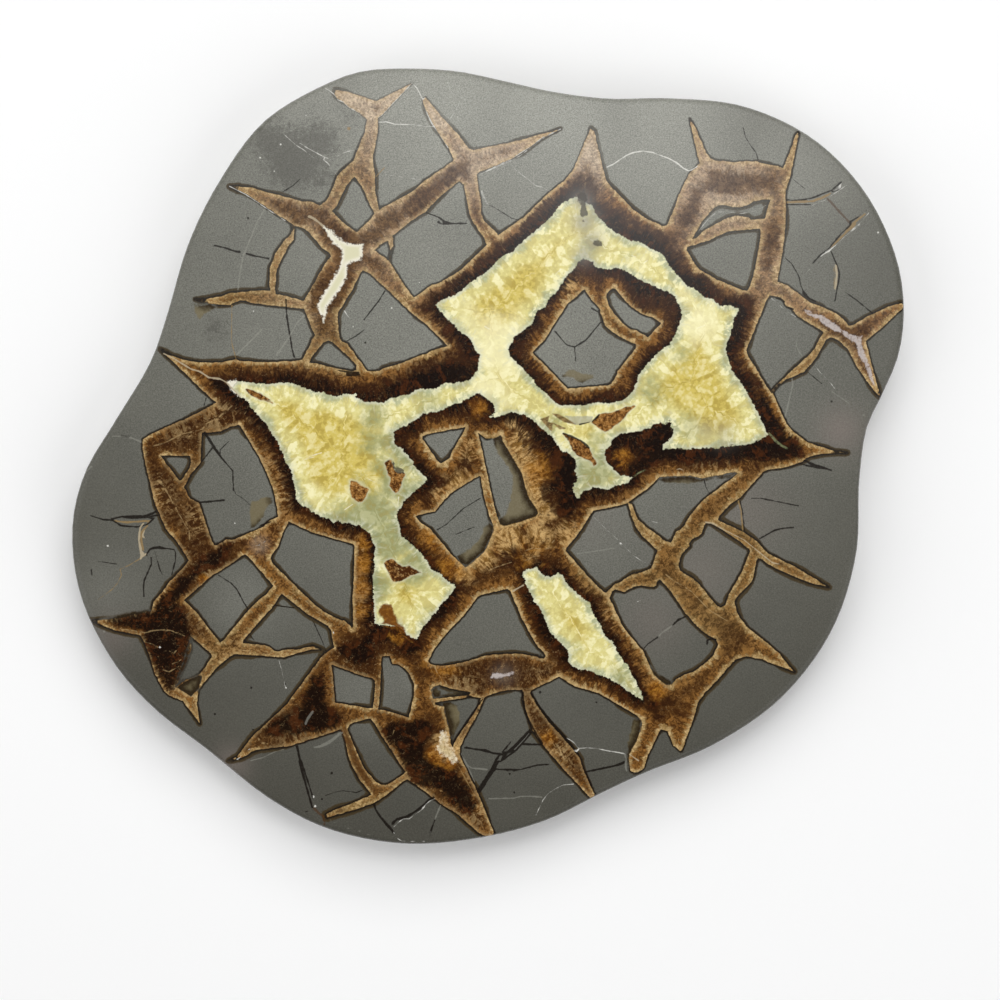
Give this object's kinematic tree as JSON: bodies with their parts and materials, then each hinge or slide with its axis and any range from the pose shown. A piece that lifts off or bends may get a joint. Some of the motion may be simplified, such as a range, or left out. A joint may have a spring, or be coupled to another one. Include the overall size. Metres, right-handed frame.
{
  "type": "septarian nodule slab",
  "caption": "Polished flat slice of grey mudstone laced with brown and yellow calcite veins, with a lobed outline and eased edges.",
  "frame": {"origin": "middle of the slab's bounding box, at the height of its underside", "axes": "+Z out of the polished face that shows, +X along the slab's longest side, +Y across it in the face"},
  "size_m": [0.1776, 0.1656, 0.014],
  "materials": {
    "polished_stone": "polished"
  },
  "bodies": {
    "root": {"slab": "polished_stone"}
  },
  "joints": []
}
